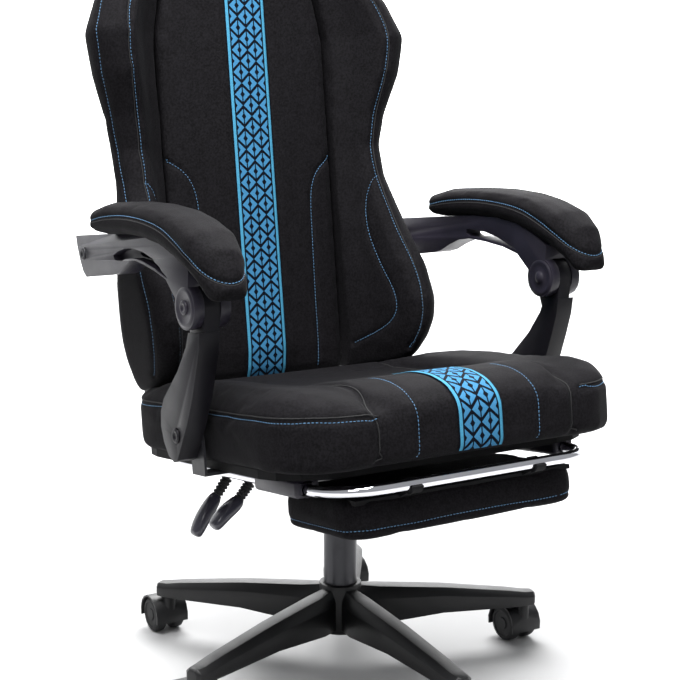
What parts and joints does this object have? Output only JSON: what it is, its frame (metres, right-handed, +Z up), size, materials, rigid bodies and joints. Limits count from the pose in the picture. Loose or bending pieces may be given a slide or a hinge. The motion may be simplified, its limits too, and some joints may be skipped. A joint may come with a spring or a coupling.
{
  "type": "gaming chair",
  "caption": "Racing-style gaming chair on a star base with casters: gas lift, reclining winged back, linked armrests and a pull-out flip-over footrest.",
  "frame": {"origin": "on the floor, at the centre of the whole chair seen from above", "axes": "+Z up, the chair faces -Y, +X is the left of a person sitting in it"},
  "size_m": [0.67, 0.7577, 1.2094],
  "materials": {
    "black_fabric": "napped woven",
    "arm_plastic": "fine-textured nylon",
    "grip_plastic": "glossy",
    "black_nylon": "fine-textured",
    "black_rubber": "matt",
    "black_steel": "powder coated",
    "zinc_steel": "satin",
    "chrome_steel": "polished",
    "plywood": "raw veneer"
  },
  "bodies": {
    "base": {"star_base": "black_nylon", "gas_column": "black_steel"},
    "lift_rod": {"piston_rod": "zinc_steel"},
    "seat": {"gas_cylinder": "zinc_steel", "tilt_mechanism": "black_steel", "seat_board": "plywood", "seat_cushion": "black_fabric", "seat_bracket_left": "black_steel", "seat_bracket_right": "black_steel", "recline_pin_left": "black_steel", "recline_pin_right": "black_steel", "arm_bracket_left": "black_steel", "arm_bracket_right": "black_steel", "footrest_rail_left": "black_steel", "footrest_rail_right": "black_steel"},
    "back": {"back_frame": "black_steel", "back_cushion": "black_fabric", "back_wing_left": "black_fabric", "back_wing_right": "black_fabric", "back_cover": "black_nylon"},
    "arm_link_left": {"arm_link_left": "arm_plastic", "arm_pad_left": "black_fabric", "link_pivot_bolt_left": "black_steel"},
    "arm_support_left": {"arm_support_left": "arm_plastic", "knuckle_pin_left": "black_steel", "support_pivot_bolt_left": "black_steel"},
    "arm_link_right": {"arm_link_right": "arm_plastic", "arm_pad_right": "black_fabric", "link_pivot_bolt_right": "black_steel"},
    "arm_support_right": {"arm_support_right": "arm_plastic", "knuckle_pin_right": "black_steel", "support_pivot_bolt_right": "black_steel"},
    "height_lever": {"height_lever_rod": "black_steel", "height_lever_sleeve": "black_rubber", "height_lever_grip": "grip_plastic"},
    "recline_lever": {"recline_lever_rod": "black_steel", "recline_lever_sleeve": "black_rubber", "recline_lever_grip": "grip_plastic"},
    "footrest_frame": {"footrest_frame": "chrome_steel"},
    "footrest": {"footrest_board": "plywood", "footrest_pad": "black_fabric"},
    "caster_1": {"caster_1_hood": "black_nylon"},
    "caster_1_wheels": {"caster_1_wheel_left": "black_rubber", "caster_1_wheel_right": "black_rubber"},
    "caster_2": {"caster_2_hood": "black_nylon"},
    "caster_2_wheels": {"caster_2_wheel_left": "black_rubber", "caster_2_wheel_right": "black_rubber"},
    "caster_3": {"caster_3_hood": "black_nylon"},
    "caster_3_wheels": {"caster_3_wheel_left": "black_rubber", "caster_3_wheel_right": "black_rubber"},
    "caster_4": {"caster_4_hood": "black_nylon"},
    "caster_4_wheels": {"caster_4_wheel_left": "black_rubber", "caster_4_wheel_right": "black_rubber"},
    "caster_5": {"caster_5_hood": "black_nylon"},
    "caster_5_wheels": {"caster_5_wheel_left": "black_rubber", "caster_5_wheel_right": "black_rubber"}
  },
  "joints": [
    {"name": "swivel", "type": "hinge", "parent": "base", "child": "lift_rod", "pos_m": [0, -0.031, 0.0655], "axis": [0, 0, 1], "continuous": true},
    {"name": "lift", "type": "slide", "parent": "lift_rod", "child": "seat", "axis": [0, 0, 1], "range_m": [0, 0.08]},
    {"name": "recline", "type": "hinge", "parent": "seat", "child": "back", "pos_m": [0, 0.25757, 0.44247], "axis": [-1, 0, 0], "range_deg": [0, 45]},
    {"name": "arm_link_left", "type": "hinge", "parent": "back", "child": "arm_link_left", "pos_m": [0, 0.20893, 0.62073], "axis": [-1, 0, 0], "range_deg": [-45, 0]},
    {"name": "arm_support_left", "type": "hinge", "parent": "seat", "child": "arm_support_left", "pos_m": [0, -0.11732, 0.40891], "axis": [-1, 0, 0], "range_deg": [0, 45]},
    {"name": "arm_link_right", "type": "hinge", "parent": "back", "child": "arm_link_right", "pos_m": [0, 0.20893, 0.62073], "axis": [-1, 0, 0], "range_deg": [-45, 0]},
    {"name": "arm_support_right", "type": "hinge", "parent": "seat", "child": "arm_support_right", "pos_m": [0, -0.11732, 0.40891], "axis": [-1, 0, 0], "range_deg": [0, 45]},
    {"name": "height_lever", "type": "hinge", "parent": "seat", "child": "height_lever", "pos_m": [-0.078, 0.01314, 0.30624], "axis": [0, 0.9925, -0.1219], "range_deg": [0, 8], "stiffness_Nm_per_rad": 1.5, "springref_deg": -8.59},
    {"name": "recline_lever", "type": "hinge", "parent": "seat", "child": "recline_lever", "pos_m": [-0.078, -0.05634, 0.31477], "axis": [0, 0.9925, -0.1219], "range_deg": [0, 8], "stiffness_Nm_per_rad": 1.5, "springref_deg": -8.59},
    {"name": "footrest_slide", "type": "slide", "parent": "seat", "child": "footrest_frame", "axis": [0, -0.9925, 0.1219], "range_m": [0, 0.22]},
    {"name": "footrest_flip", "type": "hinge", "parent": "footrest_frame", "child": "footrest", "pos_m": [0, -0.36481, 0.37078], "axis": [-1, 0, 0], "range_deg": [0, 180]},
    {"name": "caster_1_swivel", "type": "hinge", "parent": "base", "child": "caster_1", "pos_m": [0, -0.328, 0.0635], "axis": [0, 0, 1], "continuous": true},
    {"name": "caster_1_roll", "type": "hinge", "parent": "caster_1", "child": "caster_1_wheels", "pos_m": [0, -0.308, 0.0275], "axis": [1, 0, 0], "continuous": true},
    {"name": "caster_2_swivel", "type": "hinge", "parent": "base", "child": "caster_2", "pos_m": [0.28246, -0.12278, 0.0635], "axis": [0, 0, 1], "continuous": true},
    {"name": "caster_2_roll", "type": "hinge", "parent": "caster_2", "child": "caster_2_wheels", "pos_m": [0.28246, -0.10278, 0.0275], "axis": [1, 0, 0], "continuous": true},
    {"name": "caster_3_swivel", "type": "hinge", "parent": "base", "child": "caster_3", "pos_m": [0.17457, 0.20928, 0.0635], "axis": [0, 0, 1], "continuous": true},
    {"name": "caster_3_roll", "type": "hinge", "parent": "caster_3", "child": "caster_3_wheels", "pos_m": [0.17457, 0.22928, 0.0275], "axis": [1, 0, 0], "continuous": true},
    {"name": "caster_4_swivel", "type": "hinge", "parent": "base", "child": "caster_4", "pos_m": [-0.17457, 0.20928, 0.0635], "axis": [0, 0, 1], "continuous": true},
    {"name": "caster_4_roll", "type": "hinge", "parent": "caster_4", "child": "caster_4_wheels", "pos_m": [-0.17457, 0.22928, 0.0275], "axis": [1, 0, 0], "continuous": true},
    {"name": "caster_5_swivel", "type": "hinge", "parent": "base", "child": "caster_5", "pos_m": [-0.28246, -0.12278, 0.0635], "axis": [0, 0, 1], "continuous": true},
    {"name": "caster_5_roll", "type": "hinge", "parent": "caster_5", "child": "caster_5_wheels", "pos_m": [-0.28246, -0.10278, 0.0275], "axis": [1, 0, 0], "continuous": true}
  ],
  "couplings": [
    {"joint": "arm_link_left", "follows": "recline", "ratio": -1},
    {"joint": "arm_support_left", "follows": "recline", "ratio": 1},
    {"joint": "arm_link_right", "follows": "recline", "ratio": -1},
    {"joint": "arm_support_right", "follows": "recline", "ratio": 1},
    {"joint": "footrest_flip", "follows": "footrest_slide", "rad_per_m": 14.28}
  ]
}
